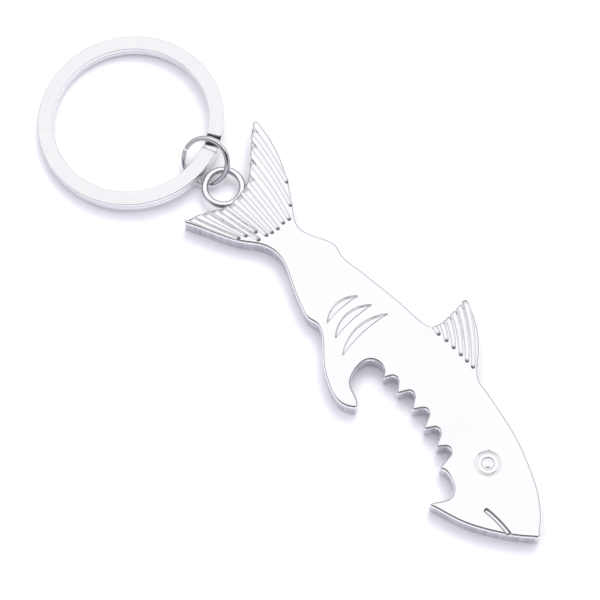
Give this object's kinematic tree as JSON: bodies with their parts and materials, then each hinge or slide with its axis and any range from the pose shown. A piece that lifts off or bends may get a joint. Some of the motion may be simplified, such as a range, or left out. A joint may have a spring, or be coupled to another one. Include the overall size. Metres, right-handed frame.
{
  "type": "souvenir bottle opener",
  "caption": "Flat cast shark bottle opener, with a toothed bite that grips a crown cap, hung by a jump ring on a flat split key ring.",
  "frame": {"origin": "on the flat back face of the casting, 36 mm towards the nose from the middle of the tail eye", "axes": "+X towards the nose, +Y towards the back fin, +Z out of the decorated face"},
  "size_m": [0.1091, 0.0362, 0.0056],
  "materials": {
    "plated_casting": "mirror-bright nickel chrome plate on die-cast zinc, white enough to show its surroundings",
    "plated_wire": "bright nickel plate on drawn steel wire",
    "plated_band": "bright nickel plate on rolled spring-steel band"
  },
  "bodies": {
    "opener_body": {"opener_body": "plated_casting"},
    "jump_ring": {"jump_ring": "plated_wire"},
    "key_ring": {"key_ring": "plated_band"}
  },
  "joints": [
    {"name": "jump_ring_swing", "type": "hinge", "parent": "opener_body", "child": "jump_ring", "pos_m": [-0.03803, 0.00041, 0.0019], "axis": [0.1344, -0.9565, -0.2588], "range_deg": [-20, 60]},
    {"name": "key_ring_swing", "type": "hinge", "parent": "jump_ring", "child": "key_ring", "pos_m": [-0.04131, 0.00032, 0.00281], "axis": [0.3256, -0.9455, 0], "range_deg": [-90, 90]}
  ]
}
